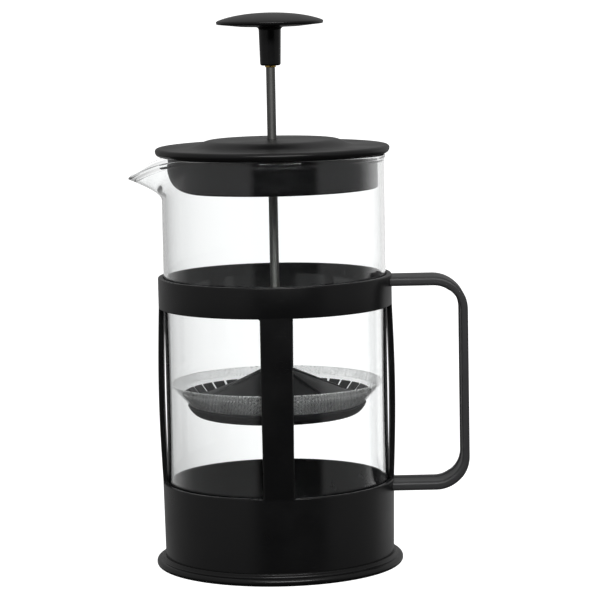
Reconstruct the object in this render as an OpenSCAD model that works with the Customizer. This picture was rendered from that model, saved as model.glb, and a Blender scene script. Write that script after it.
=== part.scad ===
// French press, one litre: a glass beaker in a plastic frame, with a lid that turns and a mesh plunger.
// Origin: middle of the base, on the surface it stands on. +Z is up, the handle is at +X, the spout at -X.

/* [Beaker] */
// Outside radius of the glass
glass_r = 49; // [44:0.5:54]
// Thickness of the glass wall
glass_wall = 1.6; // [1.2:0.1:2.4]
// Height of the glass rim above the table
glass_rim_z = 181.4; // [165:0.5:200]
// Height of the cup floor that the glass stands on
glass_floor_z = 4; // [3.5:0.5:6]
// Radius of the bend between the glass wall and its bottom
glass_bend = 8; // [5:0.5:12]
// How far the spout's tip is from the axis
spout_reach = 63.4; // [60:0.2:68]
// How far the spout's tip hangs below the rim
spout_drop = 8.9; // [6:0.1:12]
// Width of the spout's mouth where it leaves the rim
spout_mouth = 62; // [50:1:66]

/* [Frame] */
// Outside radius of the cup and of the feet of the legs
cup_r = 51.3; // [50.6:0.1:52]
// Height of the cup's top edge
cup_h = 37.5; // [30:0.5:50]
// Outside radius of the foot ring
foot_r = 54.8; // [52.8:0.1:60]
// Height of the foot ring's rounded bead
foot_h = 3.3; // [3:0.1:5]
// Outside radius of the upper band
band_r = 51.5; // [51:0.1:52]
// Height of the upper band's lower edge
band_z = 115; // [100:0.5:125]
// Height of the upper band
band_h = 13.5; // [10:0.5:18]
// Gap between the glass and the frame round it
glass_gap = 0.3; // [0.3:0.05:0.6]
// Width of each leg
leg_w = 13.4; // [10:0.2:20]
// How far a leg bows outwards at the middle of its height
leg_bow = 1.0; // [0:0.1:2]

/* [Handle] */
// How far the outside of the handle is from the axis
handle_reach = 84.6; // [78:0.2:95]
// Width of the handle strip
handle_w = 19; // [14:0.5:24]
// Thickness of the handle strip
handle_t = 4; // [3.6:0.1:6]
// Outside radius of the handle's two bends
handle_bend = 15; // [10:0.5:20]
// Width of the shallow channel along the inner side of the strip
channel_w = 11; // [6:0.5:13]

/* [Lid] */
// Outside radius of the lid
lid_r = 51.5; // [50:0.1:54]
// Radius where the raised middle of the lid is flat
plateau_r = 27.1; // [20:0.5:32]
// Radius where the raised middle meets the brim
brim_r = 37; // [34:0.5:42]
// Height of the raised middle over the brim
plateau_rise = 2.9; // [1:0.1:6]
// Outside radius of the skirt that hangs inside the glass
skirt_r = 46.2; // [45:0.1:46.6]
// Depth of the skirt below the glass rim
skirt_depth = 14.7; // [10:0.5:20]

/* [Plunger] */
// Diameter of the plunger rod
rod_d = 4; // [3:0.5:6]
// Diameter of the knob
knob_d = 47; // [35:1:55]
// Height of the top of the knob with the plunger where it is drawn
knob_top_z = 243.6; // [236:0.2:260]
// Length of the knob's stem below its disc
knob_stem = 16.7; // [12:0.1:22]
// Height of the flat middle of the filter mesh
mesh_z = 71.7; // [60:0.1:95]
// Radius of the flat middle of the filter mesh
mesh_flat_r = 38.7; // [36:0.1:40]
// Height of the turned-up edge of the mesh
mesh_rise = 9.4; // [7:0.1:11]
// Number of slots round the spreader plate
slots = 36; // [24:1:48]
// Width of each slot
slot_w = 1.6; // [1:0.1:2]

/* [Hidden] */
$fn = 96;

plastic = "#1d1d1e";
steel = "#b9bcbe";
glass_in_r = glass_r - glass_wall;
frame_in_r = glass_r + glass_gap;
band_top = band_z + band_h;
foot_collar = 1.2;
cup_foot_r = cup_r - 0.5;
skin = 1.8;

// Handle: middle line of each arm, and the screws that hold the arms
arm_top_z = band_top - 3.3;
arm_low_z = cup_h - 3.3;
root_x = glass_r - 4;
channel_depth = 0.6;
screw_r = 1.1;
screw_head_r = 2.6;
screw_head_h = 1.5;
screw_tip_x = 62;

// Lid levels, measured up from the glass rim
lid_under_z = glass_rim_z + 0.3;
lid_skin = 2.1;
brim_z = glass_rim_z + 3.9;
plateau_z = brim_z + plateau_rise;
lid_groove_z = brim_z - lid_skin;
skirt_t = 2;
skirt_bottom_z = glass_rim_z - skirt_depth;
boss_r = 7;
boss_z = plateau_z - 11.5;
guide_r = 3.9;
run_gap = 0.05;
rod_r = rod_d / 2;

// Knob and plunger levels
knob_edge_z = knob_top_z - 4.1;
knob_under_z = knob_edge_z - 2.3;
stem_z = knob_under_z - knob_stem;
stem_r = 4.8;
insert_r = 3.2;
insert_top_z = stem_z + 11.5;
mesh_t = 0.4;
mesh_rim_r = glass_in_r - 0.3;
hem_t = 0.9;
hem_share = 0.32;
tray_top_r = mesh_flat_r + 0.8;
tray_bottom_z = mesh_z - 5;
nut_h = 3.3;
plate_z = mesh_z + mesh_t;
hub_top_z = plate_z + 16.2;
slot_ring_r = mesh_flat_r - 0.9;
tooth_reach = 4.1;
tooth_h = 3.2;

// Points of an arc of an ellipse, from angle a0 to angle a1
function arc(cx, cy, rx, ry, a0, a1, n = 8) =
    [for (i = [0 : n]) let (a = a0 + (a1 - a0) * i / n) [cx + rx * cos(a), cy + ry * sin(a)]];

// Points of an S-shaped step between two radii and two heights
function s_step(r0, z0, r1, z1, n = 10) =
    [for (i = [0 : n]) let (t = i / n) [r0 + (r1 - r0) * t, z0 + (z1 - z0) * (1 - cos(180 * t)) / 2]];

// Points of a curve from p to q that bends towards c
function bend(p, c, q, n = 10) =
    [for (i = [0 : n]) let (t = i / n) (1 - t) * (1 - t) * p + 2 * t * (1 - t) * c + t * t * q];

// Ring with a rounded bead, and a low collar round the foot of the cup
module foot_ring() {
    bead = 1.5;
    collar_r = cup_foot_r + foot_collar;
    color(plastic)
    rotate_extrude()
    polygon(concat(
        [[47, 0]],
        arc(foot_r - bead, bead, bead, bead, -90, 0),
        arc(foot_r - bead, foot_h - bead, bead, bead, 0, 90),
        [[collar_r + 0.9, foot_h + 0.2], [collar_r + 0.1, foot_h + 0.9]],
        arc(collar_r - 0.4, foot_h + 1.3, 0.4, 0.4, 0, 90, 4),
        [[cup_foot_r, foot_h + 1.7], [cup_foot_r, 2.2], [47, 2.2]]
    ));
}

// Cup that holds the foot of the glass
module base_cup() {
    color(plastic)
    difference() {
        rotate_extrude()
        polygon(concat(
            [[0, 2.2], [cup_foot_r, 2.2], [cup_foot_r, foot_h + 1.7]],
            arc(cup_r - 0.5, cup_h - 0.5, 0.5, 0.5, 0, 90, 4),
            [[frame_in_r, cup_h], [frame_in_r, glass_floor_z + 3], [frame_in_r - 3, glass_floor_z]],
            [[0, glass_floor_z]]
        ));
        screw(arm_low_z);
    }
}

// Bowed strip between the cup and the band, turned to an angle about the axis
module leg(turn) {
    sweep = 2 * asin(leg_w / 2 / band_r);
    steps = 14;
    height = band_z - cup_h;
    outer = [for (i = [0 : steps]) let (t = i / steps)
        [cup_r + (band_r - cup_r) * t + leg_bow * sin(180 * t), cup_h + height * t]];
    inner = [for (i = [steps : -1 : 0]) let (t = i / steps)
        [frame_in_r + 0.8 * leg_bow * sin(180 * t), cup_h + height * t]];
    color(plastic)
    rotate([0, 0, turn - sweep / 2])
    rotate_extrude(angle = sweep)
    polygon(concat(outer, inner));
}

module leg_front() { leg(-90); }
module leg_back() { leg(90); }
module leg_spout_side() { leg(180); }
module leg_handle_side() { leg(0); }

// Band round the middle of the glass
module upper_band() {
    edge = 0.4;
    color(plastic)
    difference() {
        rotate_extrude()
        polygon(concat(
            arc(band_r - edge, band_z + edge, edge, edge, -90, 0, 4),
            arc(band_r - edge, band_top - edge, edge, edge, 0, 90, 4),
            arc(frame_in_r + edge, band_top - edge, edge, edge, 90, 180, 4),
            [[frame_in_r, band_z]]
        ));
        screw(arm_top_z);
    }
}

// Side outline of the handle loop, open towards the glass
module loop_outline(inset, thick) {
    far = handle_reach - inset;
    top = arm_top_z + handle_t / 2 - inset;
    low = arm_low_z - handle_t / 2 + inset;
    bend_r = handle_bend - inset;
    difference() {
        loop_fill(far, low, top, bend_r);
        loop_fill(far - thick, low + thick, top - thick, bend_r - thick);
    }
}

// Filled outline with two round corners on the far side
module loop_fill(far, low, top, corner) {
    polygon(concat(
        [[root_x, low]],
        arc(far - corner, low + corner, corner, corner, -90, 0, 12),
        arc(far - corner, top - corner, corner, corner, 0, 90, 12),
        [[root_x, top]]
    ));
}

// Extrudes a side outline along Y, centred on the handle
module across(width) {
    rotate([90, 0, 0])
    linear_extrude(height = width, center = true)
    children();
}

// Handle strip with its inner channel, ending against the band and the cup
module handle() {
    color(plastic)
    difference() {
        across(handle_w) loop_outline(0, handle_t);
        across(channel_w)
        difference() {
            loop_outline(handle_t - channel_depth, channel_depth + 1);
            square([band_r + 5, band_top + 10]);
        }
        translate([0, 0, (cup_h + band_z) / 2]) cylinder(r = band_r, h = band_z);
        cylinder(r = cup_r, h = (cup_h + band_z) / 2);
        screw(arm_top_z);
        screw(arm_low_z);
    }
}

// One countersunk screw, from inside the frame out into the handle
module screw(z) {
    head_x = frame_in_r + 0.2;
    translate([head_x, 0, z])
    rotate([0, 90, 0]) {
        cylinder(r1 = screw_head_r, r2 = screw_r, h = screw_head_h);
        cylinder(r = screw_r, h = screw_tip_x - head_x);
    }
    translate([head_x - 1, 0, z])
    rotate([0, 90, 0])
    cylinder(r = screw_head_r, h = 1);
}

// The two screws, with a cross recess in each head
module handle_screws() {
    head_x = frame_in_r + 0.2;
    color(steel)
    for (z = [arm_top_z, arm_low_z])
    difference() {
        screw(z);
        translate([head_x - 1.5, -4, z - 4]) cube([1.5, 8, 8]);
        translate([head_x, -1.4, z - 0.3]) cube([1.2, 2.8, 0.6]);
        translate([head_x, -0.3, z - 1.4]) cube([1.2, 0.6, 2.8]);
    }
}

// Solid outline of the glass, grown or shrunk by the wall
module glass_solid(r, floor_z, top_z, bend_r) {
    rotate_extrude()
    polygon(concat([[0, floor_z]], arc(r - bend_r, floor_z + bend_r, bend_r, bend_r, -90, 0), [[r, top_z]],
        [[0, top_z]]));
}

// Tapering spout form between the rim and the tip
module spout_form(r, tip_x, tip_z, tip_r, half_w, low_z, top_z) {
    mouth_x = sqrt(r * r - half_w * half_w);
    hull() {
        translate([-tip_x + tip_r, 0, tip_z]) sphere(r = tip_r, $fn = 24);
        translate([-r + 0.6, 0, low_z]) sphere(r = 0.6, $fn = 16);
        intersection() {
            translate([0, 0, top_z - 5]) cylinder(r = r, h = 5, $fn = 96);
            translate([-r - 1, -half_w, top_z - 6]) cube([r + 1 - mouth_x, 2 * half_w, 7]);
        }
    }
}

// Glass beaker with a drooping spout and a fire-polished rim
module beaker() {
    tip_z = glass_rim_z - spout_drop;
    rim_bead = 1;
    color("#dfe8ea", 0.35)
    difference() {
        union() {
            glass_solid(glass_r, glass_floor_z, glass_rim_z - rim_bead, glass_bend);
            translate([0, 0, glass_rim_z - rim_bead])
            rotate_extrude()
            polygon(concat([[0, -rim_bead]], arc(glass_r - 0.4, 0, 1, rim_bead, -90, 90), [[0, rim_bead]]));
            spout_form(glass_r, spout_reach, tip_z - 1.2, 1.2, spout_mouth / 2, glass_rim_z - 18.5,
                glass_rim_z - 1);
        }
        glass_solid(glass_in_r, glass_floor_z + skin, glass_rim_z + 1, glass_bend - glass_wall);
        spout_form(glass_in_r, spout_reach - 1, tip_z + 1.6, 1.2, spout_mouth / 2 - 1.4, glass_rim_z - 15.5,
            glass_rim_z + 1.5);
    }
}

// Sleeve in the middle of the lid that the rod slides in
module rod_guide() {
    color(steel)
    difference() {
        union() {
            translate([0, 0, boss_z - 0.3]) cylinder(r = guide_r, h = plateau_z - 1.6 - boss_z + 0.3);
            translate([0, 0, boss_z - 1.5]) cylinder(r = guide_r + 2.2, h = 1.2);
        }
        translate([0, 0, boss_z - 2]) cylinder(r = rod_r + run_gap, h = plateau_z);
    }
}

// Domed cover: a raised middle, an S-shaped step down to the brim and a rounded rim
module lid_cover() {
    rim_r = lid_r - 1.7;
    rim_z = glass_rim_z + 2.6;
    hole_r = rod_r + 0.45;
    color(plastic)
    rotate_extrude()
    polygon(concat(
        [[hole_r, plateau_z + 0.2], [plateau_r * 0.6, plateau_z + 0.15]],
        s_step(plateau_r, plateau_z, brim_r, brim_z),
        [[(brim_r + rim_r) / 2, brim_z - 0.1]],
        arc(rim_r, rim_z, 1.7, brim_z - rim_z, 90, 0),
        arc(rim_r - 0.2, rim_z, 1.9, rim_z - lid_under_z, 0, -90),
        [[skirt_r + 0.05, lid_under_z], [skirt_r + 0.05, lid_groove_z]],
        s_step(brim_r, lid_groove_z, plateau_r, plateau_z - lid_skin),
        [[boss_r, plateau_z - lid_skin], [boss_r, boss_z], [guide_r + run_gap, boss_z]],
        [[guide_r + run_gap, plateau_z - 1.3], [hole_r, plateau_z - 1.3]]
    ));
}

// Pour notch in the skirt: narrow at the top, sweeping out to the skirt's lower edge
module pour_notch() {
    foot_w = 35.4;
    neck_w = 5.6;
    rise = skirt_depth + 0.8;
    side = bend([foot_w, 0], [12, 0.2], [neck_w, rise]);
    other = [for (p = side) [-p[0], p[1]]];
    mirrored = [for (i = [len(other) - 1 : -1 : 0]) other[i]];
    translate([0, 0, skirt_bottom_z])
    rotate([90, 0, -90])
    linear_extrude(height = skirt_r + 5)
    polygon(concat([[foot_w, -1]], side, mirrored, [[-foot_w, -1]]));
}

// Skirt that hangs inside the glass, with the notch that lets the coffee out
module lid_skirt() {
    in_r = skirt_r - skirt_t;
    color(plastic)
    difference() {
        rotate_extrude()
        polygon(concat(
            [[in_r, lid_groove_z], [in_r, skirt_bottom_z + 0.5]],
            arc(in_r + 0.5, skirt_bottom_z + 0.5, 0.5, 0.5, 180, 270, 4),
            arc(skirt_r - 1.2, skirt_bottom_z + 1.2, 1.2, 1.2, -90, 0, 5),
            [[skirt_r, lid_groove_z]]
        ));
        pour_notch();
    }
}

// Flat domed knob on a round stem
module knob() {
    half = knob_d / 2;
    color(plastic)
    difference() {
        rotate_extrude()
        polygon(concat(
            [[0, knob_top_z]],
            bend([2, knob_top_z - 0.15], [half * 0.55, knob_top_z - 1], [half - 1.2, knob_edge_z + 1], 8),
            arc(half - 0.9, knob_edge_z, 0.9, 0.8, 60, -90, 8),
            [[half * 0.55, knob_under_z + 0.3], [stem_r + 1.2, knob_under_z]],
            arc(stem_r + 1, knob_under_z - 1, 1, 1, 90, 180, 4),
            arc(stem_r - 1.3, stem_z + 1, 1, 1, 0, -90, 4),
            [[0, stem_z]]
        ));
        translate([0, 0, stem_z - 1]) cylinder(r = insert_r, h = insert_top_z - stem_z + 1);
    }
}

// Threaded brass sleeve in the stem of the knob
module knob_insert() {
    color("#b08d3e")
    difference() {
        union() {
            translate([0, 0, stem_z]) cylinder(r = insert_r, h = insert_top_z - stem_z);
            translate([0, 0, stem_z - 0.7]) cylinder(r = rod_r + 0.4, h = 1);
        }
        translate([0, 0, stem_z - 2]) cylinder(r = rod_r, h = insert_top_z - stem_z + 1.2);
    }
}

// Round steel rod from the nut below the filter to the knob
module plunger_rod() {
    foot = tray_bottom_z - nut_h + 0.8;
    color(steel)
    translate([0, 0, foot])
    cylinder(r = rod_r, h = insert_top_z - 0.8 - foot);
}

// Cone that spreads the coffee, with a ring of teeth turned up round its edge
module spreader_plate() {
    wall = 1.4;
    foot_z = plate_z + 1.6;
    cone_top_z = plate_z + 14.6;
    tooth_r = slot_ring_r + tooth_reach;
    color(plastic)
    difference() {
        union() {
            rotate_extrude()
            polygon([
                [rod_r, plate_z], [5.5, plate_z], [5.5, cone_top_z - wall - 1.6],
                [slot_ring_r - 3, foot_z - wall + 0.4], [slot_ring_r - 3, plate_z], [slot_ring_r, plate_z],
                [tooth_r, foot_z + tooth_h - 0.5], [tooth_r - 0.5, foot_z + tooth_h],
                [slot_ring_r + 0.75, foot_z + 0.2], [slot_ring_r - 1, foot_z + 0.2],
                [5, cone_top_z], [4, hub_top_z], [rod_r, hub_top_z]
            ]);
            for (turn = [15 : 60 : 315])
            rotate([0, 0, turn])
            rotate([90, 0, 0])
            linear_extrude(height = 1.4, center = true)
            polygon([
                [3, hub_top_z - 1], [3, cone_top_z - 3], [30, foot_z + 1], [30, foot_z + 3.6],
                [5, cone_top_z + 1.2]
            ]);
        }
        for (i = [0 : slots - 1])
        rotate([0, 0, (i + 0.5) * 360 / slots])
        translate([slot_ring_r - 0.4, -slot_w / 2, foot_z - 0.6])
        cube([8, slot_w, tooth_h + 2]);
    }
}

// Woven steel filter: a flat disc with a cone edge, and a hem folded double round its rim
module filter_mesh() {
    top_z = mesh_z + mesh_rise;
    run = mesh_rim_r - mesh_flat_r;
    hem_r = mesh_rim_r - run * hem_share;
    hem_z = top_z - mesh_rise * hem_share;
    color("#8f9294")
    rotate_extrude()
    polygon([
        [rod_r, mesh_z], [mesh_flat_r, mesh_z], [mesh_rim_r, top_z - 0.3], [mesh_rim_r - 0.1, top_z],
        [mesh_rim_r - hem_t, top_z], [hem_r - hem_t, hem_z], [hem_r - 0.5, hem_z - 0.1],
        [mesh_flat_r - 0.3, mesh_z + mesh_t], [rod_r, mesh_z + mesh_t]
    ]);
}

// Dish below the mesh, with windows in its floor for the coffee
module retainer_tray() {
    wall = 1.5;
    windows = 8;
    floor_r = tray_top_r - 5.5;
    color(plastic)
    difference() {
        rotate_extrude()
        polygon(concat(
            [[rod_r, tray_bottom_z], [floor_r, tray_bottom_z]],
            bend([floor_r, tray_bottom_z], [tray_top_r - 2.2, tray_bottom_z + 0.4], [tray_top_r, mesh_z], 6),
            [[tray_top_r - wall - 0.6, mesh_z], [floor_r + 0.4, tray_bottom_z + wall]],
            [[boss_r, tray_bottom_z + wall], [boss_r, mesh_z], [rod_r, mesh_z]]
        ));
        for (i = [0 : windows - 1])
        rotate([0, 0, (i + 0.25) * 360 / windows])
        rotate_extrude(angle = 28)
        translate([11, tray_bottom_z - 1])
        square([20, wall + 2]);
    }
}

// Flanged nut on the end of the rod that clamps the filter
module filter_nut() {
    flange_h = 0.9;
    color(steel)
    difference() {
        union() {
            translate([0, 0, tray_bottom_z - nut_h]) cylinder(r = 5.2, h = nut_h, $fn = 6);
            translate([0, 0, tray_bottom_z - flange_h]) cylinder(r = 6.6, h = flange_h);
        }
        translate([0, 0, tray_bottom_z - nut_h + 0.8]) cylinder(r = rod_r, h = nut_h);
    }
}

foot_ring();
base_cup();
leg_front();
leg_back();
leg_spout_side();
leg_handle_side();
upper_band();
handle();
handle_screws();
beaker();
rod_guide();
lid_cover();
lid_skirt();
knob();
knob_insert();
plunger_rod();
spreader_plate();
filter_mesh();
retainer_tray();
filter_nut();
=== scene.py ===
"""Looks of a one-litre french press: glass, satin black plastic, drawn steel and woven filter mesh.

Outlines are written in millimetres, in the frame of the design, and each finished mesh is scaled to metres.
"""
import bmesh
import bpy
import math
from mathutils import Matrix, Vector


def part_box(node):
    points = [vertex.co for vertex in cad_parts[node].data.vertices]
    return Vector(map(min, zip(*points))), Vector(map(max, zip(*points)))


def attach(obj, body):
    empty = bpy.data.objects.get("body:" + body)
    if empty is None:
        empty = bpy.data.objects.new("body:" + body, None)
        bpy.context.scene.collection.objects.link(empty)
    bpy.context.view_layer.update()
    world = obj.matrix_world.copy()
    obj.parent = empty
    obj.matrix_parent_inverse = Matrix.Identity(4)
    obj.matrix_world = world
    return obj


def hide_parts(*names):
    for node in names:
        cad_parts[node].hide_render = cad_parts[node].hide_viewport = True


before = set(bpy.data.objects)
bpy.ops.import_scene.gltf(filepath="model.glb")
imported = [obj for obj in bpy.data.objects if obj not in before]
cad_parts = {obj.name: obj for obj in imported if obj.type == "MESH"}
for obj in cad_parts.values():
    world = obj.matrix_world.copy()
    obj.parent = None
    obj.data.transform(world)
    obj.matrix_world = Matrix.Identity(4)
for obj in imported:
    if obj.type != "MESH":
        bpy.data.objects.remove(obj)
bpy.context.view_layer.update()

MM = 0.001
FULL_TURN = 2 * math.pi
FINE = 192  # steps round a turned piece
SHARP_ANGLE = math.radians(38)  # edges sharper than this are shaded as edges


# ---------------------------------------------------------------- sizes, in millimetres

def low(node):
    """Lowest corner of a CAD node."""
    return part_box(node)[0] / MM


def high(node):
    """Highest corner of a CAD node."""
    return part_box(node)[1] / MM


RIM_BEAD = 2.0  # height of the fire-polished bead round the rim of the glass
BEAD_PROUD = 0.6  # how far the bead stands out from the wall
GLASS_R = high("beaker").y - BEAD_PROUD
GLASS_WALL = 1.6
GLASS_IN = GLASS_R - GLASS_WALL
GLASS_TOP = high("beaker").z
FRAME_IN = GLASS_R + 0.3
BAND_R = high("upper_band").y
CUP_R = high("base_cup").y
CUP_FOOT_R = CUP_R - 0.5  # the cup has a slight draft
CUP_TOP = high("base_cup").z
SKIRT_R = high("lid_skirt").y
LID_R = high("lid_cover").y
LID_TOP = high("lid_cover").z
ROD_R = high("plunger_rod").y
MESH_Z = low("filter_mesh").z


# ---------------------------------------------------------------- mesh helpers

def outline(corners, steps=5, closed=True):
    """Points of an outline through corners (across, up, fillet radius), with an arc at each fillet."""
    points = []
    last = len(corners) - 1
    for i, (across, up, fillet) in enumerate(corners):
        corner = Vector((across, up))
        if fillet == 0 or (not closed and i in (0, last)):
            points.append(corner)
            continue
        back = (Vector(corners[i - 1][:2]) - corner).normalized()
        ahead = (Vector(corners[(i + 1) % len(corners)][:2]) - corner).normalized()
        half = back.angle(ahead) / 2
        middle = corner + (back + ahead).normalized() * fillet / math.sin(half)
        first = corner + back * fillet / math.tan(half) - middle
        final = corner + ahead * fillet / math.tan(half) - middle
        start = math.atan2(first.y, first.x)
        turn = (math.atan2(final.y, final.x) - start + math.pi) % FULL_TURN - math.pi
        for k in range(steps + 1):
            angle = start + turn * k / steps
            points.append(middle + fillet * Vector((math.cos(angle), math.sin(angle))))
    return points


def curve(start, pull, end, steps=10):
    """Points of a curve from start to end that bends towards pull."""
    start, pull, end = Vector(start), Vector(pull), Vector(end)
    shares = [k / steps for k in range(steps + 1)]
    return [(1 - t) ** 2 * start + 2 * t * (1 - t) * pull + t * t * end for t in shares]


def arc(middle, across, up, first, last, steps=8):
    """Points of an arc of an ellipse, between two angles in degrees."""
    angles = [math.radians(first + (last - first) * k / steps) for k in range(steps + 1)]
    return [Vector((middle[0] + across * math.cos(a), middle[1] + up * math.sin(a))) for a in angles]


def s_step(start, end, steps=12):
    """Points of an S-shaped step from start to end."""
    start, end = Vector(start), Vector(end)
    shares = [k / steps for k in range(steps + 1)]
    fallen = [(1 - math.cos(math.pi * t)) / 2 for t in shares]
    return [
        Vector((start.x + (end.x - start.x) * t, start.y + (end.y - start.y) * fall))
        for t, fall in zip(shares, fallen)
    ]


def turned(points, closed=True, steps=FINE, start=0.0, sweep=FULL_TURN):
    """Spins an outline of (radius, height) points about Z, from start and through sweep, with closed ends."""
    bm = bmesh.new()
    verts = [bm.verts.new((r, 0, z)) for r, z in points]
    following = verts[1:] + verts[:1] if closed else verts[1:]
    edges = [bm.edges.new(pair) for pair in zip(verts, following)]
    whole = sweep == FULL_TURN
    bmesh.ops.rotate(bm, verts=bm.verts, cent=(0, 0, 0), matrix=Matrix.Rotation(start, 3, "Z"))
    bmesh.ops.spin(
        bm, geom=verts + edges, cent=(0, 0, 0), axis=(0, 0, 1), angle=sweep, steps=steps, use_merge=whole)
    if not whole:
        rims = [e for e in bm.edges if e.is_boundary]
        bmesh.ops.edgeloop_fill(bm, edges=rims)
    return bm


def prism(points, width, bevel):
    """Extrudes a side outline of (X, Z) points along Y, centred, and rounds its edges."""
    bm = bmesh.new()
    face = bm.faces.new([bm.verts.new((x, -width / 2, z)) for x, z in points])
    grown = bmesh.ops.extrude_face_region(bm, geom=[face])
    moved = [g for g in grown["geom"] if isinstance(g, bmesh.types.BMVert)]
    bmesh.ops.translate(bm, verts=moved, vec=(0, width, 0))
    round_edges(bm, bm.edges, bevel)
    return bm


def round_edges(bm, edges, radius, segments=3):
    """Bevels edges to a round of a given radius."""
    bmesh.ops.bevel(
        bm, geom=list(edges), offset=radius, offset_type="OFFSET", segments=segments, profile=0.5,
        affect="EDGES", clamp_overlap=True, material=-1)


def join(target, source, turn=0.0):
    """Moves the mesh of source into target, turned about Z."""
    bmesh.ops.rotate(source, verts=source.verts, cent=(0, 0, 0), matrix=Matrix.Rotation(turn, 3, "Z"))
    bmesh.ops.recalc_face_normals(source, faces=source.faces)
    mesh = bpy.data.meshes.new("part_of_a_piece")
    source.to_mesh(mesh)
    target.from_mesh(mesh)
    bpy.data.meshes.remove(mesh)


def piece(name, bm, body, nodes, material):
    """Turns a finished bmesh into a piece that rides on a body and stands for its CAD nodes."""
    bmesh.ops.remove_doubles(bm, verts=bm.verts, dist=1e-4)
    bmesh.ops.recalc_face_normals(bm, faces=bm.faces)
    bmesh.ops.scale(bm, verts=bm.verts, vec=(MM, MM, MM))
    mesh = bpy.data.meshes.new(name)
    bm.to_mesh(mesh)
    bm.free()
    mesh.shade_smooth()
    mesh.set_sharp_from_angle(angle=SHARP_ANGLE)
    mesh.materials.append(material)
    obj = bpy.data.objects.new(name, mesh)
    bpy.context.scene.collection.objects.link(obj)
    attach(obj, body)
    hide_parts(*nodes)
    return obj


# ---------------------------------------------------------------- materials

def linear(code):
    """A colour written as sRGB hex, as linear RGBA."""
    shares = [int(code[i:i + 2], 16) / 255 for i in (1, 3, 5)]
    return tuple(c / 12.92 if c <= 0.04045 else ((c + 0.055) / 1.055) ** 2.4 for c in shares) + (1.0,)


def grey(level):
    """A neutral colour of a given linear brightness."""
    return (level, level, level, 1.0)


def add(tree, kind, inputs=None, **settings):
    """Adds a node. A value in inputs is set on its socket, and another node's output is linked to it."""
    node = tree.nodes.new(kind)
    for name, value in settings.items():
        setattr(node, name, value)
    for socket, value in (inputs or {}).items():
        if isinstance(value, bpy.types.NodeSocket):
            tree.links.new(value, node.inputs[socket])
        else:
            node.inputs[socket].default_value = value
    return node


def calculated(tree, operation, *values):
    """The result of a calculation on values or outputs."""
    return add(tree, "ShaderNodeMath", dict(enumerate(values)), operation=operation).outputs[0]


def rescaled(tree, value, start, end, low_level=0.0, high_level=1.0):
    """A value moved from the range start to end into low_level to high_level, and held at its ends."""
    node = add(tree, "ShaderNodeMapRange", {
        "Value": value, "From Min": start, "From Max": end, "To Min": low_level, "To Max": high_level})
    return node.outputs["Result"]


def mixed(tree, share, first, second):
    """A colour on the way from the first colour to the second."""
    node = add(tree, "ShaderNodeMix", {"Factor": share, "A": first, "B": second}, data_type="RGBA")
    return node.outputs["Result"]


def object_place(tree):
    """Places on the object, in metres."""
    return add(tree, "ShaderNodeTexCoord").outputs["Object"]


def stretched(tree, place, scale):
    """Places scaled along each axis, which stretches a pattern along the axes that are scaled down."""
    return add(tree, "ShaderNodeMapping", {"Vector": place, "Scale": scale}).outputs["Vector"]


def noise(tree, place, cell, detail, distortion=0.0):
    """Noise from 0 to 1, with cells of a size in millimetres."""
    node = add(tree, "ShaderNodeTexNoise", {
        "Vector": place, "Scale": 1 / (cell * MM), "Detail": detail, "Distortion": distortion})
    return node.outputs["Fac"]


def bumped(tree, height, strength, distance):
    """Surface directions over a height pattern, which is distance millimetres deep."""
    node = add(tree, "ShaderNodeBump", {"Height": height, "Strength": strength, "Distance": distance * MM})
    return node.outputs["Normal"]


def blank(name):
    """A new material, and its empty node tree."""
    material = bpy.data.materials.new(name)
    material.use_nodes = True
    material.node_tree.nodes.clear()
    return material, material.node_tree


def finish_material(tree, shader):
    add(tree, "ShaderNodeOutputMaterial", {"Surface": shader})


def moulded_polypropylene(name, colour, rub_and_highlight_colour, roughness):
    """Injection-moulded polypropylene: near black, satin, with the fine spark-eroded grain of the mould,
    slow changes of gloss where the melt cooled unevenly, hairline rubs from washing and wiping, and a painted
    highlight that lightens its edges."""
    material, tree = blank(name)
    place = object_place(tree)
    # The mould's grain is drawn 0.45 mm wide, coarser than the real 0.1 mm, so that it shows.
    grain = noise(tree, place, 0.45, 3.0)
    # Gloss drifts over patches of about 18 mm.
    patches = noise(tree, place, 18, 4.0)
    gloss = rescaled(tree, patches, 0.3, 0.7, roughness - 0.04, roughness + 0.05)
    # Rubs are 0.35 mm high and nine times as long, and run mostly round the body.
    rubs = noise(tree, stretched(tree, place, (1 / 9, 1 / 9, 1.0)), 0.35, 5.0, distortion=0.4)
    rubbed = rescaled(tree, rubs, 0.62, 0.78)
    # Painted highlight: convex edges are painted lighter, towards the rub and highlight colour.
    pointiness = add(tree, "ShaderNodeNewGeometry").outputs["Pointiness"]
    edge_highlight = rescaled(tree, pointiness, 0.53, 0.65, 0.0, 0.25)
    rubs_and_edge_highlight = calculated(tree, "MAXIMUM", calculated(tree, "MULTIPLY", rubbed, 0.25), edge_highlight)
    shader = add(tree, "ShaderNodeBsdfPrincipled", {
        "Base Color": mixed(tree, rubs_and_edge_highlight, linear(colour), linear(rub_and_highlight_colour)),
        "Roughness": calculated(tree, "ADD", gloss, calculated(tree, "MULTIPLY", rubbed, 0.08)),
        "IOR": 1.49, "Normal": bumped(tree, grain, 0.12, 0.03)})
    finish_material(tree, shader.outputs[0])
    return material


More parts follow.
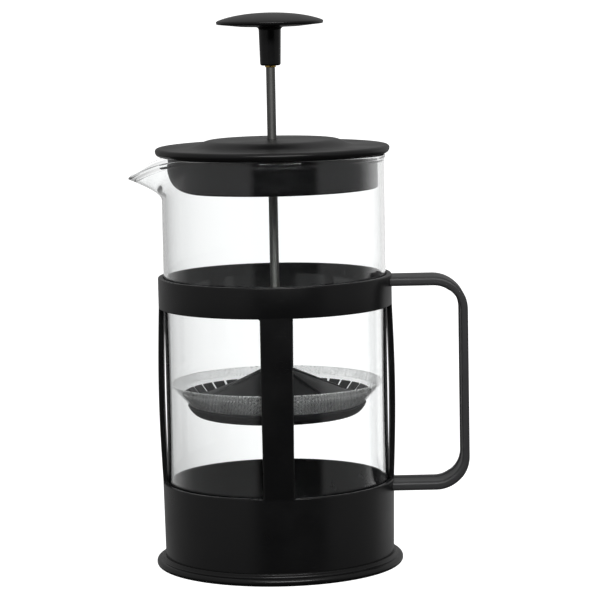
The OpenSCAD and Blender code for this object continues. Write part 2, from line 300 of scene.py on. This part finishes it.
def borosilicate_glass(name):
    """Mould-blown borosilicate glass: clear, with a painted shade that greys it a little where it is seen
    edge-on, and slow waves left by blowing.
    Shadow rays pass straight through, so that lamps reach what stands inside."""
    material, tree = blank(name)
    waves = noise(tree, object_place(tree), 26, 1.0)
    # Painted shade: the glass's colour turns greyer where it is seen at a grazing angle.
    facing = add(tree, "ShaderNodeLayerWeight", {"Blend": 0.32}).outputs["Facing"]
    glass = add(tree, "ShaderNodeBsdfPrincipled", {
        "Base Color": mixed(tree, rescaled(tree, facing, 0.5, 1.0), linear("#fdfefe"), linear("#f5f6f6")),
        "Roughness": 0.0, "IOR": 1.47, "Transmission Weight": 1.0, "Normal": bumped(tree, waves, 0.1, 0.15)})
    clear = add(tree, "ShaderNodeBsdfTransparent", {"Color": linear("#f4f6f6")})
    shadow = add(tree, "ShaderNodeLightPath").outputs["Is Shadow Ray"]
    mix = add(tree, "ShaderNodeMixShader", {0: shadow, 1: glass.outputs[0], 2: clear.outputs[0]})
    finish_material(tree, mix.outputs[0])
    return material


def drawn_steel(name, colour, line_colour, roughness):
    """Cold-drawn stainless rod: grey, with hairlines along its length from the die, and soft smears."""
    material, tree = blank(name)
    place = object_place(tree)
    # Die lines are 0.15 mm apart and run along the rod.
    lines = noise(tree, stretched(tree, place, (1.0, 1.0, 1 / 80)), 0.15, 4.0)
    smears = noise(tree, place, 7, 3.0)
    shader = add(tree, "ShaderNodeBsdfPrincipled", {
        "Base Color": mixed(tree, lines, linear(colour), linear(line_colour)), "Metallic": 1.0,
        "Roughness": rescaled(tree, smears, 0.3, 0.7, roughness - 0.05, roughness + 0.07),
        "Normal": bumped(tree, lines, 0.25, 0.02)})
    finish_material(tree, shader.outputs[0])
    return material


def woven_steel(name, wire_share, dull, bright, unevenness):
    """Woven stainless cloth: round wires over and under each other, with square holes between them.
    The real wires are about 0.25 mm apart, and are drawn coarser so that the weave shows."""
    pitch = 0.62 * MM
    material, tree = blank(name)
    place = object_place(tree)
    axes = add(tree, "ShaderNodeSeparateXYZ", {0: place}).outputs

    def from_wire(axis):
        """0 on the middle of a wire and 1 halfway to the next, for wires that cross an axis."""
        swing = calculated(tree, "PINGPONG", axes[axis], pitch / 2)
        return calculated(tree, "DIVIDE", swing, pitch / 2)

    nearest = calculated(tree, "MINIMUM", from_wire("X"), from_wire("Y"))
    # Forming stretches the cloth unevenly, in specks of about 1 mm.
    specks = noise(tree, place, 1.0, 2.0)
    share = rescaled(tree, specks, 0.3, 0.7, wire_share * (1 - unevenness), wire_share * (1 + unevenness))
    crimp = add(tree, "ShaderNodeTexChecker", {"Vector": place, "Scale": 2 / pitch}).outputs["Fac"]
    # Coffee oils dull the cloth in clouds of about 5 mm.
    clouds = noise(tree, place, 5, 5.0)
    shader = add(tree, "ShaderNodeBsdfPrincipled", {
        "Base Color": mixed(tree, clouds, linear(dull), linear(bright)), "Metallic": 0.1, "Roughness": 0.55,
        "Alpha": calculated(tree, "LESS_THAN", nearest, share),
        "Normal": bumped(tree, calculated(tree, "MULTIPLY_ADD", nearest, -1.0, crimp), 0.6, 0.12)})
    finish_material(tree, shader.outputs[0])
    return material


def plated_steel(name, colour, roughness):
    """Zinc-plated steel fastener: bright, with the soft mottling of plating and light tool marks."""
    material, tree = blank(name)
    place = object_place(tree)
    # Zinc crystals are about 0.8 mm wide.
    mottle = add(tree, "ShaderNodeTexVoronoi", {"Vector": place, "Scale": 1 / (0.8 * MM)}).outputs["Distance"]
    marks = noise(tree, place, 0.3, 4.0)
    shader = add(tree, "ShaderNodeBsdfPrincipled", {
        "Base Color": mixed(tree, mottle, linear(colour), linear("#dcdcd8")), "Metallic": 1.0,
        "Roughness": rescaled(tree, marks, 0.3, 0.7, roughness - 0.06, roughness + 0.08),
        "Normal": bumped(tree, marks, 0.2, 0.02)})
    finish_material(tree, shader.outputs[0])
    return material


def turned_brass(name):
    """Brass turned on a lathe: warm yellow, with fine rings from the cutting tool and a light stain."""
    material, tree = blank(name)
    place = object_place(tree)
    # The texture's phase is 20 times its scaled height, which puts the tool rings 0.4 pi, or 1.26 mm, apart.
    rings = add(tree, "ShaderNodeTexWave", {
        "Vector": place, "Scale": 1 / (0.2 * MM * 20), "Distortion": 0.3}, bands_direction="Z").outputs["Fac"]
    stain = noise(tree, place, 2, 3.0)
    shader = add(tree, "ShaderNodeBsdfPrincipled", {
        "Base Color": mixed(tree, stain, linear("#b08a3c"), linear("#d9b964")), "Metallic": 1.0,
        "Roughness": rescaled(tree, stain, 0.3, 0.7, 0.24, 0.38), "Normal": bumped(tree, rings, 0.3, 0.02)})
    finish_material(tree, shader.outputs[0])
    return material


# The third colour of each plastic is the one its rubs and its painted edge highlights lighten it towards.
FRAME_PLASTIC = moulded_polypropylene("frame_polypropylene", "#0e0e0f", "#353536", 0.3)
# The handle is the frame's black polypropylene painted lighter, a painted light for the light its faces
# catch.
PAINTED_LIGHTER_HANDLE_PLASTIC = moulded_polypropylene("handle_polypropylene_painted_lighter", "#434344", "#656566", 0.4)
LID_PLASTIC = moulded_polypropylene("lid_polypropylene", "#101011", "#39393a", 0.34)
SKIRT_PLASTIC = moulded_polypropylene("skirt_polypropylene", "#0c0c0d", "#333334", 0.2)
KNOB_PLASTIC = moulded_polypropylene("knob_phenolic", "#101011", "#383839", 0.33)
FILTER_PLASTIC = moulded_polypropylene("filter_polypropylene", "#1a1a1b", "#454546", 0.4)
GLASS = borosilicate_glass("beaker_borosilicate_glass")
ROD_STEEL = drawn_steel("rod_drawn_stainless_steel", "#676765", "#8f8f8c", 0.5)
MESH_STEEL = woven_steel("filter_woven_stainless_steel", 0.15, "#f0f0ee", "#ffffff", 0.3)
HEM_STEEL = woven_steel("filter_doubled_stainless_steel", 0.24, "#dededc", "#ffffff", 0.7)
FASTENER_STEEL = plated_steel("fastener_zinc_plated_steel", "#a9aaa9", 0.3)
BRASS = turned_brass("insert_turned_brass")


# ---------------------------------------------------------------- frame

def foot_ring():
    """Ring with a rounded bead, a low collar round the cup and a shallow groove between them."""
    bead_r = high("foot_ring").y
    bead_top = 3.3
    inner_r = 47
    collar_r = CUP_FOOT_R + 1.2
    seat = low("base_cup").z
    top = high("foot_ring").z
    bm = turned(outline([
        (inner_r, 0, 0.4), (bead_r, 0, 1.5), (bead_r, bead_top, 1.5), (collar_r + 0.2, bead_top, 0.8),
        (collar_r, top, 0.4), (CUP_FOOT_R, top, 0), (CUP_FOOT_R, seat, 0), (inner_r, seat, 0)], steps=8))
    return piece("foot_ring", bm, "frame", ["foot_ring"], FRAME_PLASTIC)


def base_cup():
    """Cup with a rounded lip, a slight draft and a rounded inner corner."""
    seat = low("base_cup").z
    floor = seat + 1.8
    bm = turned(outline([
        (0, seat, 0), (CUP_FOOT_R, seat, 0), (CUP_FOOT_R, 5, 0), (CUP_R, CUP_TOP, 0.5),
        (FRAME_IN, CUP_TOP, 0.5), (FRAME_IN, floor + 3, 1.5), (FRAME_IN - 3, floor, 1.5), (0, floor, 0)],
        closed=False))
    return piece("base_cup", bm, "frame", ["base_cup"], FRAME_PLASTIC)


def leg(name, turn):
    """Bowed strip with rounded long edges and small webs where it runs into the cup and the band."""
    width = 2 * high("leg_front").x
    foot = low("leg_front").z
    head = high("leg_front").z
    bow = 1.0
    web = 0.8  # height over which the strip widens towards each end
    inset = 0.02  # keeps the ends inside the faces of the cup and the band
    sink = 1.6  # how far the ends run into the cup and the band
    steps = 40
    outer, inner = [], []
    for i in range(steps + 1):
        t = (1 - math.cos(math.pi * i / steps)) / 2
        z = foot + (head - foot) * t
        outer.append((CUP_R + (BAND_R - CUP_R) * t + bow * math.sin(math.pi * t), z))
        inner.append((FRAME_IN + 0.8 * bow * math.sin(math.pi * t), z))
    outer = [(CUP_R - inset, foot - sink)] + outer + [(BAND_R - inset, head + sink)]
    inner = [(FRAME_IN + inset, foot - sink)] + inner + [(FRAME_IN + inset, head + sink)]
    sweep = 2 * math.asin(width / 2 / high("leg_back").y)
    bm = turned(outer + inner[::-1], steps=10, start=-sweep / 2, sweep=sweep)
    corners = [e for e in bm.edges if len(e.link_faces) == 2 and e.calc_face_angle(0) > 1.0]
    long_edges = [e for e in corners if abs(e.verts[0].co.z - e.verts[1].co.z) > 1e-4]
    round_edges(bm, long_edges, 0.45, segments=4)
    for v in bm.verts:
        near = min(abs(v.co.z - foot), abs(v.co.z - head), web)
        if v.co.z < foot or v.co.z > head:
            near = 0
        spread = 1 + (web / (width / 2)) * (1 - near / web) ** 2.5
        angle = math.atan2(v.co.y, v.co.x)
        radius = math.hypot(v.co.x, v.co.y)
        v.co.x = radius * math.cos(angle * spread)
        v.co.y = radius * math.sin(angle * spread)
    bmesh.ops.rotate(bm, verts=bm.verts, cent=(0, 0, 0), matrix=Matrix.Rotation(turn, 3, "Z"))
    return piece(name, bm, "frame", [name], FRAME_PLASTIC)


def upper_band():
    """Plain band with rounded edges."""
    foot = low("upper_band").z
    head = high("upper_band").z
    bm = turned(outline([
        (FRAME_IN, foot, 0.3), (BAND_R, foot, 0.4), (BAND_R, head, 0.5), (FRAME_IN, head, 0.5)]))
    return piece("upper_band", bm, "frame", ["upper_band"], FRAME_PLASTIC)


STRIP_T = 4.0  # thickness of the handle strip
GRIP_THINNING = 0.17  # share of the thickness that the upright part of the strip is thinner by


def strip_section():
    """Section of the handle strip as (depth from the outer face, across): rounded, with a channel inside."""
    half = high("handle").y
    thick = STRIP_T
    channel = 5.5
    depth = 0.6
    nose = 1.35
    return outline([
        (0, -half, nose), (0, half, nose), (thick, half, nose), (thick, channel, 0.3),
        (thick - depth, channel - depth, 0.3), (thick - depth, depth - channel, 0.3),
        (thick, -channel, 0.3), (thick, -half, nose)], steps=6)


def handle():
    """Flat strip bent to a D: out from the band, down and back to the cup, thinner along its upright part."""
    reach = high("handle").x
    top = high("handle").z
    base = low("handle").z
    corner = 15.0
    start_x = BAND_R - 1.2
    end_x = CUP_R - 1.2
    bm = bmesh.new()
    verts = [bm.verts.new((start_x, across, top - depth)) for depth, across in strip_section()]
    loop = [bm.edges.new(pair) for pair in zip(verts, verts[1:] + verts[:1])]
    bmesh.ops.edgeloop_fill(bm, edges=loop)

    def straight(edges, move):
        grown = bmesh.ops.extrude_edge_only(bm, edges=edges)["geom"]
        moved = [g for g in grown if isinstance(g, bmesh.types.BMVert)]
        bmesh.ops.translate(bm, verts=moved, vec=move)
        grown_edges = [g for g in grown if isinstance(g, bmesh.types.BMEdge)]
        return [e for e in grown_edges if e.verts[0] in moved and e.verts[1] in moved]

    def bent(edges, centre):
        ring = {v for e in edges for v in e.verts}
        grown = bmesh.ops.spin(
            bm, geom=list(ring) + edges, cent=centre, axis=(0, 1, 0), angle=math.pi / 2, steps=20,
            use_merge=False)
        return [g for g in grown["geom_last"] if isinstance(g, bmesh.types.BMEdge)]

    loop = straight(loop, (reach - corner - start_x, 0, 0))
    loop = bent(loop, (reach - corner, 0, top - corner))
    loop = straight(loop, (0, 0, base - top + 2 * corner))
    loop = bent(loop, (reach - corner, 0, base + corner))
    loop = straight(loop, (end_x - reach + corner, 0, 0))
    bmesh.ops.edgeloop_fill(bm, edges=loop)
    middle = (top + base) / 2
    for v in bm.verts:
        arm = (abs(v.co.z - middle) - (top - base) / 2 + corner) / (corner - STRIP_T)
        upright = 1 - min(1.0, max(0.0, arm))
        if v.co.x > reach - 2 * STRIP_T:
            v.co.x = reach - (reach - v.co.x) * (1 - GRIP_THINNING * upright)
    return piece("handle", bm, "frame", ["handle"], PAINTED_LIGHTER_HANDLE_PLASTIC)


# ---------------------------------------------------------------- glass

SPOUT_FOOT = GLASS_TOP - 18.5  # where the spout starts to leave the wall
SPOUT_HALF_ANGLE = math.radians(37)
SPOUT_SOFT = math.radians(5)  # rounds the crease down the middle of the spout
SPOUT_TIP = Vector((-low("beaker").x - BEAD_PROUD, GLASS_TOP - 9.8))
TIP_THINNING = 0.35  # how much thinner the bead is at the tip
SPOUT_PULL = Vector((GLASS_R + 0.3, SPOUT_FOOT + 2.9))  # bends the middle line of the spout


def draw_spout(co):
    """Where a point of the plain glass goes when the hot rim is pulled out and down to a spout."""
    start = SPOUT_FOOT
    rim = GLASS_TOP - RIM_BEAD
    if co.z <= start:
        return co
    t = min(1.0, (co.z - start) / (rim - start))
    radius = math.hypot(co.x, co.y)
    off = math.atan2(co.y, -co.x)
    spread = SPOUT_HALF_ANGLE * (0.5 + 0.5 * t)
    soft = math.sqrt(off * off + SPOUT_SOFT ** 2) - SPOUT_SOFT
    if soft >= spread:
        return co
    pull = (1 - (soft / spread) ** 1.15) ** 1.6
    goal = (1 - t) ** 2 * Vector((GLASS_R, start)) + 2 * t * (1 - t) * SPOUT_PULL + t * t * SPOUT_TIP
    radius += pull * (goal.x - GLASS_R)
    height = co.z + pull ** 1.5 * (goal.y - start - (rim - start) * t)
    height -= max(0.0, co.z - rim) * TIP_THINNING * pull
    return Vector((-radius * math.cos(off), radius * math.sin(off), height))


def beaker():
    """Straight-sided glass with a rounded foot, a fire-polished bead at the rim and a drooping spout."""
    floor = low("beaker").z
    bend = 8.0
    inner_floor = floor + 1.8
    shoulder = GLASS_TOP - RIM_BEAD
    steps = 26
    rise = [SPOUT_FOOT + (shoulder - SPOUT_FOOT) * k / steps for k in range(steps)]
    outer = outline([
        (0, floor, 0), (GLASS_R, floor, bend), (GLASS_R, SPOUT_FOOT, 0)], steps=12, closed=False)[:-1]
    outer += [Vector((GLASS_R, z)) for z in rise]
    bead = outline([
        (GLASS_R, shoulder - 0.6, 0), (GLASS_R + BEAD_PROUD, shoulder + 0.4, 0.5),
        (GLASS_R + BEAD_PROUD, GLASS_TOP, 0.9), (GLASS_IN, GLASS_TOP, 0.9), (GLASS_IN, shoulder - 0.6, 0)],
        steps=6, closed=False)[1:-1]
    inner = [Vector((GLASS_IN, z)) for z in rise[::-1]]
    inner += outline([
        (GLASS_IN, SPOUT_FOOT, 0), (GLASS_IN, inner_floor, bend - GLASS_WALL), (0, inner_floor, 0)],
        steps=12, closed=False)[1:]
    bm = turned(outer + bead + inner, closed=False, steps=300)
    for v in bm.verts:
        v.co = draw_spout(v.co)
    return piece("beaker", bm, "beaker", ["beaker"], GLASS)


# ---------------------------------------------------------------- lid

PLATEAU_R = 27.1  # the raised middle of the lid
BRIM_R = 37.0  # where the step from the middle reaches the brim


def lid_cover():
    """Cover with a raised middle, a soft step to the brim, a rounded rim and a boss under the middle."""
    plateau = LID_TOP - 0.2
    brim = plateau - 2.9
    under = low("lid_skirt").z + 15.0
    rim_z = GLASS_TOP + 2.6
    hole = ROD_R + 0.45
    boss_foot = plateau - 11.5
    groove = brim - 2.1
    top = outline([
        (hole, plateau - 1.3, 0), (hole, plateau + 0.2, 0.35), (16, plateau + 0.16, 0)], closed=False)
    top += s_step((PLATEAU_R, plateau), (BRIM_R, brim))
    rim = [Vector((43, brim - 0.1))]
    rim += arc((LID_R - 1.7, rim_z), 1.7, brim - rim_z, 90, 0)
    rim += arc((LID_R - 1.9, rim_z), 1.9, rim_z - under, 0, -90)[1:]
    rim += [Vector((SKIRT_R + 0.05, under))]
    inside = [Vector((SKIRT_R + 0.05, groove))]
    inside += s_step((BRIM_R, groove), (PLATEAU_R, plateau - 2.1))
    boss = outline([
        (27, plateau - 2.1, 0), (7, plateau - 2.1, 0.6), (7, boss_foot, 0.5), (3.95, boss_foot, 0.2),
        (3.95, plateau - 1.3, 0)], closed=False)[1:]
    bm = turned(top + rim + inside + boss)
    return piece("lid_cover", bm, "lid", ["lid_cover"], LID_PLASTIC)


def lid_skirt():
    """Skirt inside the glass, whose lower edge sweeps up to the pour notch on the spout side."""
    foot = low("lid_skirt").z
    head = high("lid_skirt").z
    inner_r = SKIRT_R - 2
    notch_half = 5.6
    notch_foot = 35.4
    notch_rise = head - foot - 1.0
    neck = math.asin(notch_half / SKIRT_R)
    levels = 8
    section = outline([
        (inner_r, head, 0), (inner_r, foot, 0.4), (SKIRT_R, foot, 1.0), (SKIRT_R, head, 0)], steps=5)
    walls = []
    for a, b in zip(section, section[1:] + section[:1]):
        parts = levels if (a - b).length > 6 else 1
        walls += [a.lerp(b, k / parts) for k in range(parts)]
    bm = turned(walls, steps=256, start=math.pi + neck, sweep=FULL_TURN - 2 * neck)
    edge = curve((notch_foot, 0), (12, 0.2), (notch_half, notch_rise), steps=40)

    def cut(across):
        """How far the notch rises above the skirt's foot at a distance across."""
        across = abs(across)
        if across >= notch_foot:
            return 0.0
        for a, b in zip(edge, edge[1:]):
            if b.x <= across <= a.x:
                return a.y + (b.y - a.y) * (a.x - across) / (a.x - b.x)
        return notch_rise

    for v in bm.verts:
        if v.co.x < 0:
            rise = cut(v.co.y)
            down = head - v.co.z
            v.co.z = head - down * (head - foot - rise) / (head - foot)
    return piece("lid_skirt", bm, "lid", ["lid_skirt"], SKIRT_PLASTIC)


# ---------------------------------------------------------------- plunger

def knob():
    """Flat domed knob on a round stem, with a soft edge and a small fillet under the disc."""
    radius = high("knob").y
    top = high("knob").z
    foot = low("knob").z
    edge = top - 4.1
    under = edge - 2.3
    stem = 4.8
    bore = 3.2
    bore_top = foot + 11.5
    dome = curve((0, top), (radius * 0.6, top - 0.1), (radius - 1.0, edge + 0.9), steps=16)
    rest = outline([
        (radius - 1.0, edge + 0.9, 0), (radius + 0.05, edge + 0.35, 0.6), (radius - 0.2, edge - 0.9, 0.6),
        (radius * 0.55, under + 0.3, 3), (stem + 0.1, under, 1.4), (stem - 0.3, foot, 0.9), (bore, foot, 0.2),
        (bore, bore_top, 0), (0, bore_top, 0)], steps=6, closed=False)[1:]
    bm = turned(dome + rest, closed=False)
    return piece("knob", bm, "plunger", ["knob"], KNOB_PLASTIC)


def plunger_rod():
    """Round steel rod with chamfered ends."""
    foot = low("plunger_rod").z
    head = high("plunger_rod").z
    chamfer = 0.4
    bm = turned([
        (0, foot), (ROD_R - chamfer, foot), (ROD_R, foot + chamfer), (ROD_R, head - chamfer),
        (ROD_R - chamfer, head), (0, head)], closed=False, steps=64)
    return piece("plunger_rod", bm, "plunger", ["plunger_rod"], ROD_STEEL)


PLATE_Z = low("spreader_plate").z
FOOT_Z = PLATE_Z + 1.6
SLOTS = 36
SLOT_W = 1.6
SLOT_RING = 37.8


def spreader_plate():
    """Cone with six ribs, and a ring of upturned teeth with a slot between each pair."""
    cone_top = PLATE_Z + 14.6
    hub_top = high("spreader_plate").z
    reach = high("spreader_plate").y - 0.05
    tooth_top = FOOT_Z + 3.2
    bm = turned(outline([
        (ROD_R, PLATE_Z, 0), (5.5, PLATE_Z, 0.2), (5.5, cone_top - 3, 0.6), (SLOT_RING - 3, FOOT_Z - 1, 0.3),
        (SLOT_RING - 3, PLATE_Z, 0.2), (SLOT_RING - 0.4, PLATE_Z, 0), (SLOT_RING - 0.4, FOOT_Z + 0.3, 0.2),
        (SLOT_RING - 2, FOOT_Z + 0.3, 1.0), (5, cone_top, 0.8), (4, hub_top, 0.4), (ROD_R, hub_top, 0)],
        steps=4))
    pitch = FULL_TURN / SLOTS
    gap = SLOT_W / 40
    tooth = turned([
        (SLOT_RING - 1, PLATE_Z + 0.05), (SLOT_RING, PLATE_Z + 0.05), (reach, tooth_top - 0.5),
        (reach - 0.5, tooth_top), (SLOT_RING + 0.75, FOOT_Z + 0.2), (SLOT_RING - 1, FOOT_Z + 0.2)],
        steps=4, start=-(pitch - gap) / 2, sweep=pitch - gap)
    for i in range(SLOTS):
        join(bm, tooth.copy(), i * pitch)
    tooth.free()
    for i in range(6):
        rib = prism([
            (3, hub_top - 1), (3, cone_top - 3), (30, FOOT_Z + 1), (30, FOOT_Z + 3.4), (5, cone_top + 1.2)],
            1.4, 0.3)
        join(bm, rib, math.radians(15 + 60 * i))
    return piece("spreader_plate", bm, "plunger", ["spreader_plate"], FILTER_PLASTIC)


def filter_mesh():
    """Woven steel disc with a turned-up edge, folded back double along its rim."""
    thick = 0.3
    flat_r = 38.6
    rim_r = high("filter_mesh").y
    rim_z = high("filter_mesh").z
    slope = Vector((rim_r - flat_r, rim_z - MESH_Z)).normalized()
    across = Vector((-slope.y, slope.x))
    rim = Vector((rim_r - 0.1, rim_z))
    hem_low = rim - slope * 4.3 + across * 0.75
    outer = outline([
        (ROD_R, MESH_Z, 0), (flat_r, MESH_Z, 0.8), (rim.x, rim.y, 0.35),
        (*(rim + across * 0.75), 0.35), (*hem_low, 0.1), (*(hem_low - across * 0.3), 0.1),
        (*(rim - slope * 4.6 + across * thick), 0), (flat_r - 0.15, MESH_Z + thick, 0.6),
        (ROD_R, MESH_Z + thick, 0)], steps=5)
    bm = turned(outer)
    for f in bm.faces:
        f.material_index = int(f.calc_center_median().z > hem_low.y - 0.2)
    obj = piece("filter_mesh", bm, "plunger", ["filter_mesh"], MESH_STEEL)
    obj.data.materials.append(HEM_STEEL)
    return obj


def retainer_tray():
    """Dish under the mesh: a rounded wall, a boss in the middle and eight spokes between the windows."""
    floor = low("retainer_tray").z
    top_r = high("retainer_tray").y
    floor_r = top_r - 5.5
    wall = 1.5
    inner_r, outer_r = 11.0, 31.0
    windows = 8
    outside = curve((floor_r, floor), (top_r - 2.2, floor + 0.4), (top_r, MESH_Z - 0.3), steps=12)
    bm = turned(
        [Vector((outer_r, floor))] + outside + [Vector((top_r - 0.3, MESH_Z)), Vector((top_r - 2.1, MESH_Z))]
        + outline([(top_r - 2.1, MESH_Z, 0), (floor_r + 0.4, floor + wall, 1.0), (outer_r, floor + wall, 0)],
                  closed=False)[1:])
    join(bm, turned(outline([
        (ROD_R, floor, 0), (inner_r, floor, 0.3), (inner_r, floor + wall, 0.3), (7, floor + wall, 0.5),
        (7, MESH_Z, 0.3), (ROD_R, MESH_Z, 0)])))
    window = math.radians(28)
    spoke = FULL_TURN / windows - window
    overlap = 0.4
    low_face = floor + 0.02
    high_face = floor + wall - 0.02
    for i in range(windows):
        arm = turned(
            [(inner_r - overlap, low_face), (outer_r + overlap, low_face), (outer_r + overlap, high_face),
             (inner_r - overlap, high_face)],
            steps=4, start=FULL_TURN * (i + 0.25) / windows + window, sweep=spoke)
        join(bm, arm)
    return piece("retainer_tray", bm, "plunger", ["retainer_tray"], FILTER_PLASTIC)


def dress(node, material):
    """Gives a carried-over CAD node its material."""
    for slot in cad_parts[node].material_slots:
        slot.material = material


foot_ring()
base_cup()
leg("leg_front", -math.pi / 2)
leg("leg_back", math.pi / 2)
leg("leg_spout_side", math.pi)
leg("leg_handle_side", 0.0)
upper_band()
handle()
beaker()
lid_cover()
lid_skirt()
knob()
plunger_rod()
spreader_plate()
filter_mesh()
retainer_tray()
dress("handle_screws", FASTENER_STEEL)
dress("filter_nut", FASTENER_STEEL)
dress("rod_guide", FASTENER_STEEL)
dress("knob_insert", BRASS)


# ---------------------------------------------------------------- camera, floor and light

def seen_straight(tree, bounces):
    """1 for what the camera sees directly or through glass, and 0 for reflections and light on surfaces.
    A ray that has only gone through glass counts no other bounces by this point, or one at the world."""
    path = add(tree, "ShaderNodeLightPath").outputs
    other = calculated(tree, "SUBTRACT", path["Ray Depth"], path["Transmission Depth"])
    clean = calculated(tree, "LESS_THAN", other, bounces + 0.5)
    through = calculated(tree, "MULTIPLY", clean, path["Is Transmission Ray"])
    return calculated(tree, "MAXIMUM", through, path["Is Camera Ray"])


def seen_in_glass(tree):
    """1 for a single sharp reflection in the nearer wall of the glass, and 0 for other rays at the world."""
    path = add(tree, "ShaderNodeLightPath").outputs
    other = calculated(tree, "SUBTRACT", path["Ray Depth"], path["Transmission Depth"])
    single = calculated(tree, "LESS_THAN", other, 2.5)
    near = calculated(tree, "LESS_THAN", path["Transmission Depth"], 2.5)
    sharp = calculated(tree, "MULTIPLY", single, path["Is Singular Ray"])
    return calculated(tree, "MULTIPLY", sharp, near)


def grey_ramp(tree, value, levels):
    """Greys along a value, through pairs of place and level."""
    node = add(tree, "ShaderNodeValToRGB", {"Fac": value})
    ramp = node.color_ramp
    while len(ramp.elements) < len(levels):
        ramp.elements.new(0.5)
    for element, (share, level) in zip(ramp.elements, levels):
        element.position = share
        element.color = grey(level)
    return node.outputs["Color"]


def backdrop(tree, place, strength):
    """Colour of the white backdrop, by its bearing from the press. Rays that don't come straight from the
    camera also see a grey flag behind, on the spout side, which draws that edge of the glass."""
    way = add(tree, "ShaderNodeSeparateXYZ", {0: place}).outputs
    bearing = calculated(tree, "ARCTAN2", way["X"], way["Y"])
    turn = rescaled(tree, bearing, math.radians(-45), math.radians(5))
    flag = grey_ramp(tree, turn, [
        (0.0, strength), (0.2, 0.6), (0.6, 0.64), (0.72, 0.84), (0.8, 0.98), (0.86, 1.08), (1.0, strength)])
    return mixed(tree, add(tree, "ShaderNodeLightPath").outputs["Is Camera Ray"], flag, grey(strength))


def camera():
    """A long lens a little above the knob, looking slightly down, with the handle to the right."""
    data = bpy.data.cameras.new("camera")
    data.lens = 172.5
    data.sensor_width = 36
    data.clip_start = 0.05
    obj = bpy.data.objects.new("camera", data)
    bpy.context.scene.collection.objects.link(obj)
    place = Matrix.Translation((0.00076, -1.26027, 0.26799))
    turn = Matrix.Rotation(math.radians(-0.4636), 4, "Z")
    tilt = Matrix.Rotation(math.radians(90 - 6.8331), 4, "X")
    roll = Matrix.Rotation(math.radians(-1.0994), 4, "Z")
    obj.matrix_world = place @ turn @ tilt @ roll
    bpy.context.scene.camera = obj


def studio_world():
    """White backdrop for what is seen straight. Reflections and light see a studio instead: grey flats at the
    back and the sides, dark between them in front, dark below and pale above. Single sharp reflections in
    the glass see brighter flats behind."""
    world = bpy.data.worlds.new("studio")
    bpy.context.scene.world = world
    world.use_nodes = True
    tree = world.node_tree
    tree.nodes.clear()
    place = add(tree, "ShaderNodeTexCoord").outputs["Generated"]
    way = add(tree, "ShaderNodeSeparateXYZ", {0: place}).outputs
    # Bearings run from -180 degrees behind, past -90 on the spout side and 0 in front, to 180 behind.
    front = calculated(tree, "MULTIPLY", way["Y"], -1.0)
    turn = rescaled(tree, calculated(tree, "ARCTAN2", way["X"], front), -math.pi, math.pi)
    levels = [
        (-180, 0.28), (-150, 0.28), (-140, 0.27), (-25, 0.27), (-21, 0.02), (45, 0.02), (48, 0.25),
        (112, 0.25), (122, 0.42), (180, 0.28)]
    flats = grey_ramp(tree, turn, [(angle / 360 + 0.5, level) for angle, level in levels])
    above_floor = mixed(tree, rescaled(tree, way["Z"], -0.34, -0.2), grey(0.03), flats)
    studio = mixed(tree, rescaled(tree, way["Z"], 0.8, 0.95), above_floor, grey(0.5))
    # These places are shares of the whole turn, from behind and round to behind.
    bright_behind = grey_ramp(tree, turn, [
        (0.0, 0.9), (0.05, 0.6), (0.14, 0.6), (0.22, 0.3), (0.43, 0.3), (0.45, 0.02), (0.62, 0.02),
        (0.64, 0.3), (0.78, 0.3), (0.84, 1.0), (1.0, 1.0)])
    mirrored = mixed(tree, seen_in_glass(tree), studio, bright_behind)
    whole = mixed(tree, seen_straight(tree, 1), mirrored, backdrop(tree, place, 1.25))
    back = add(tree, "ShaderNodeBackground", {"Color": whole})
    add(tree, "ShaderNodeOutputWorld", {"Surface": back.outputs[0]})


def floor():
    """Pale plain floor, bright enough to run into the backdrop, with only a breath of contact shadow."""
    bm = bmesh.new()
    bmesh.ops.create_circle(bm, cap_ends=True, segments=64, radius=4.0)
    mesh = bpy.data.meshes.new("floor")
    bm.to_mesh(mesh)
    bm.free()
    obj = bpy.data.objects.new("floor", mesh)
    bpy.context.scene.collection.objects.link(obj)
    material, tree = blank("floor_white_acrylic")
    glow = add(tree, "ShaderNodeEmission", {"Color": backdrop(tree, object_place(tree), 1.2)})
    card = add(tree, "ShaderNodeBsdfDiffuse", {"Color": linear("#8c8c8c")})
    both = add(tree, "ShaderNodeAddShader", {0: glow.outputs[0], 1: card.outputs[0]})
    clear = add(tree, "ShaderNodeBsdfTransparent")
    mix = add(tree, "ShaderNodeMixShader", {
        0: seen_straight(tree, 0), 1: clear.outputs[0], 2: both.outputs[0]})
    finish_material(tree, mix.outputs[0])
    mesh.materials.append(material)


def softbox(name, azimuth, elevation, distance, size, power):
    """Area light aimed at the middle of the press. Azimuth 0 is in front, and 90 on the handle's side.
    Angles are in degrees, distance and size in metres, and power in watts."""
    data = bpy.data.lights.new(name, "AREA")
    data.shape = "RECTANGLE"
    data.size, data.size_y = size
    data.energy = power
    obj = bpy.data.objects.new(name, data)
    bpy.context.scene.collection.objects.link(obj)
    a, e = math.radians(azimuth), math.radians(elevation)
    away = Vector((math.sin(a) * math.cos(e), -math.cos(a) * math.cos(e), math.sin(e)))
    aim = Vector((0, 0, 0.12))
    facing = away.to_track_quat("Z", "Y").to_matrix().to_4x4()
    obj.matrix_world = Matrix.Translation(aim + away * distance) @ facing


camera()
studio_world()
floor()
softbox("front_softbox", 8, 28, 1.3, (1.0, 0.2), 8.6)

bpy.context.scene.view_settings.view_transform = "Standard"
